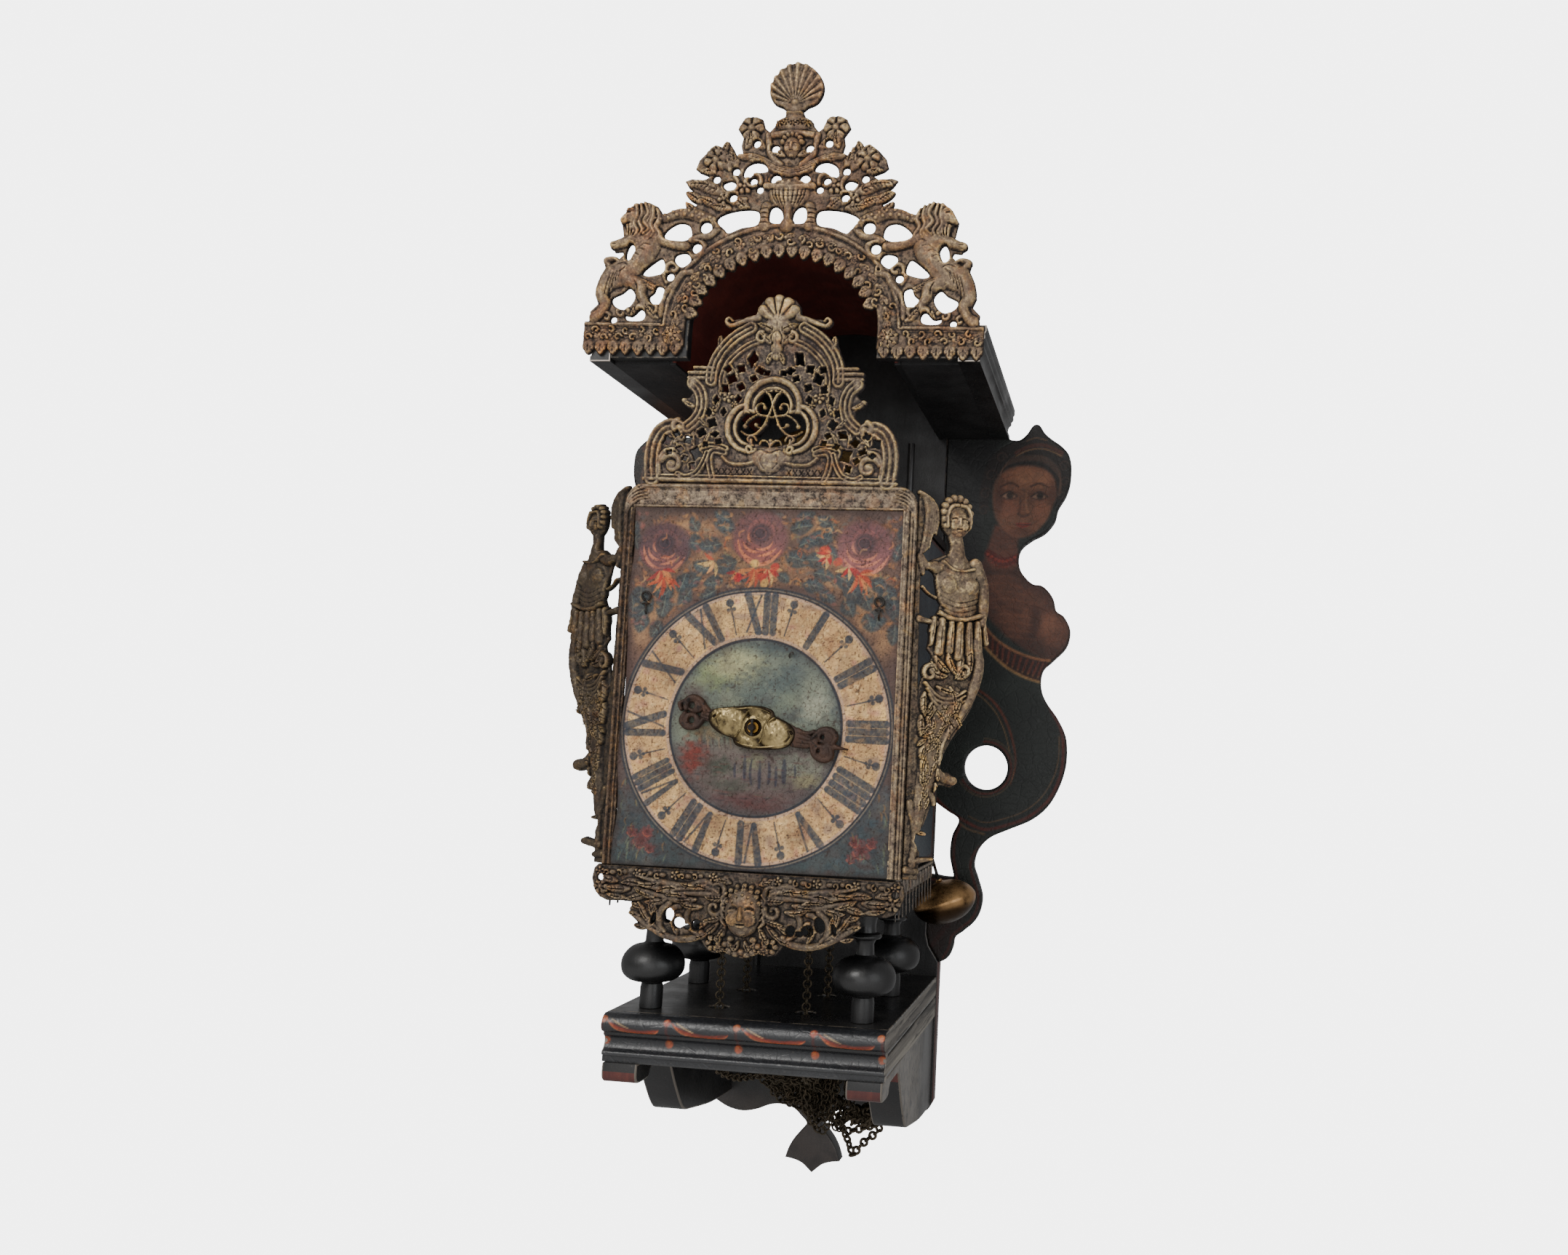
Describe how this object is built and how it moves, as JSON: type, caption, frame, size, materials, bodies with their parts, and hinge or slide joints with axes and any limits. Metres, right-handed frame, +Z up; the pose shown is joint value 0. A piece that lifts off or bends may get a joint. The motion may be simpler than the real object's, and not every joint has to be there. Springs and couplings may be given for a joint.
{
  "type": "hooded wall clock with short pendulum",
  "caption": "Hooded wall clock on a bracket shelf: arched hood, painted dial with an hour hand, pierced lead frets, weight-driven movement, bell and pendulum.",
  "frame": {"origin": "centre of the hanging hole, in the back face of the backboard", "axes": "+X to the right seen from the front, +Y towards the wall, +Z up; the dial faces -Y"},
  "size_m": [0.3542, 0.23, 0.745],
  "materials": {
    "black_wood": "old black gloss paint, rubbed on the edges",
    "red_wood": "dull red paint",
    "painted_wing": "black and green painted boards, worn",
    "turned_wood": "polished black turnings",
    "gilt_lead": "cast lead with worn gilding",
    "comb_lead": "cast lead, dull",
    "dial_paint": "painted dial, crackled varnish",
    "door_paint": "dark blue-grey paint with a red edge",
    "forged_iron": "dark forged iron",
    "dark_iron_hand": "dark brown iron",
    "old_brass": "aged brass",
    "bell_metal": "dark bell metal",
    "chain_iron": "dark iron rings"
  },
  "bodies": {
    "case": {"backboard": "black_wood", "wing_left": "painted_wing", "wing_right": "painted_wing", "bead_mouldings": "black_wood", "hood_front_board": "black_wood", "hood_barrel_roof": "red_wood", "hood_shoulder_boards": "black_wood", "hood_cornice_left": "black_wood", "hood_cornice_right": "black_wood", "hood_crest": "gilt_lead", "shelf_board": "black_wood", "shelf_moulding": "black_wood", "shelf_bracket_left": "black_wood", "shelf_bracket_right": "black_wood", "stool_top": "black_wood", "stool_legs": "turned_wood", "bottom_plate": "forged_iron", "top_plate": "forged_iron", "corner_pillars": "forged_iron", "train_bars": "forged_iron", "arbor_studs": "forged_iron", "dial_plate": "dial_paint", "dial_frame": "gilt_lead", "top_fret": "gilt_lead", "bottom_fret": "gilt_lead", "side_fret_left": "gilt_lead", "side_fret_right": "gilt_lead", "comb_fringes": "comb_lead", "door_hinge_pins": "forged_iron", "dial_hooks": "forged_iron", "bell": "bell_metal", "bell_stand": "forged_iron", "verge_cocks": "forged_iron", "hand_pin": "forged_iron", "chain_going": "chain_iron", "chain_strike": "chain_iron", "chain_bundle": "chain_iron"},
    "pendulum": {"verge": "forged_iron", "pendulum_rod": "forged_iron", "pendulum_bob": "old_brass"},
    "door_left": {"side_door_left": "door_paint"},
    "door_right": {"side_door_right": "door_paint"},
    "hammer": {"bell_hammer": "forged_iron"},
    "going_main": {"going_great_wheel": "old_brass", "going_arbor": "forged_iron", "going_sprocket": "forged_iron"},
    "going_second": {"second_wheel": "old_brass"},
    "going_contrate": {"contrate_wheel": "old_brass"},
    "going_crown": {"crown_wheel": "old_brass"},
    "hour": {"hour_wheel": "old_brass", "hour_hand": "dark_iron_hand", "hand_boss": "old_brass"},
    "strike_main": {"strike_great_wheel": "old_brass", "strike_arbor": "forged_iron", "strike_sprocket": "forged_iron"},
    "strike_pin": {"pin_wheel": "old_brass"},
    "strike_warning": {"warning_wheel": "old_brass"},
    "strike_fly": {"fly": "old_brass"},
    "strike_count": {"count_wheel": "old_brass"}
  },
  "joints": [
    {"name": "pendulum_swing", "type": "hinge", "parent": "case", "child": "pendulum", "pos_m": [0, -0.042, -0.117], "axis": [0, 1, 0], "range_deg": [0, 38]},
    {"name": "door_left_hinge", "type": "hinge", "parent": "case", "child": "door_left", "pos_m": [-0.087, -0.066, -0.25], "axis": [0, 0, 1], "range_deg": [-100, 0]},
    {"name": "door_right_hinge", "type": "hinge", "parent": "case", "child": "door_right", "pos_m": [0.087, -0.066, -0.25], "axis": [0, 0, 1], "range_deg": [0, 100]},
    {"name": "hammer_swing", "type": "hinge", "parent": "case", "child": "hammer", "pos_m": [0.056, -0.15, -0.2], "axis": [0, 0, 1], "range_deg": [-25, 0], "stiffness_Nm_per_rad": 0.02},
    {"name": "second_spin", "type": "hinge", "parent": "case", "child": "going_second", "pos_m": [0, -0.175, -0.27], "axis": [0, 1, 0], "continuous": true},
    {"name": "going_spin", "type": "hinge", "parent": "case", "child": "going_main", "pos_m": [0, -0.175, -0.305], "axis": [0, 1, 0], "continuous": true},
    {"name": "contrate_spin", "type": "hinge", "parent": "case", "child": "going_contrate", "pos_m": [0, -0.175, -0.246], "axis": [0, 1, 0], "continuous": true},
    {"name": "crown_spin", "type": "hinge", "parent": "case", "child": "going_crown", "pos_m": [0, -0.1688, -0.2], "axis": [0, 0, 1], "continuous": true},
    {"name": "hour_spin", "type": "hinge", "parent": "case", "child": "hour", "pos_m": [0, -0.215, -0.275], "axis": [0, 1, 0], "continuous": true},
    {"name": "pin_spin", "type": "hinge", "parent": "case", "child": "strike_pin", "pos_m": [0, -0.11, -0.27], "axis": [0, 1, 0], "continuous": true},
    {"name": "strike_spin", "type": "hinge", "parent": "case", "child": "strike_main", "pos_m": [0, -0.11, -0.305], "axis": [0, 1, 0], "continuous": true},
    {"name": "warning_spin", "type": "hinge", "parent": "case", "child": "strike_warning", "pos_m": [0, -0.11, -0.246], "axis": [0, 1, 0], "continuous": true},
    {"name": "fly_spin", "type": "hinge", "parent": "case", "child": "strike_fly", "pos_m": [0, -0.115, -0.228], "axis": [0, 1, 0], "continuous": true},
    {"name": "count_spin", "type": "hinge", "parent": "case", "child": "strike_count", "pos_m": [0, -0.078, -0.275], "axis": [0, 1, 0], "continuous": true}
  ],
  "couplings": [
    {"joint": "going_spin", "follows": "second_spin", "ratio": -0.16667},
    {"joint": "contrate_spin", "follows": "second_spin", "ratio": -5},
    {"joint": "crown_spin", "follows": "second_spin", "ratio": -20},
    {"joint": "hour_spin", "follows": "second_spin", "ratio": 0.041667},
    {"joint": "strike_spin", "follows": "pin_spin", "ratio": -0.16667},
    {"joint": "warning_spin", "follows": "pin_spin", "ratio": -5},
    {"joint": "fly_spin", "follows": "pin_spin", "ratio": 20},
    {"joint": "count_spin", "follows": "pin_spin", "ratio": 0.041667}
  ]
}
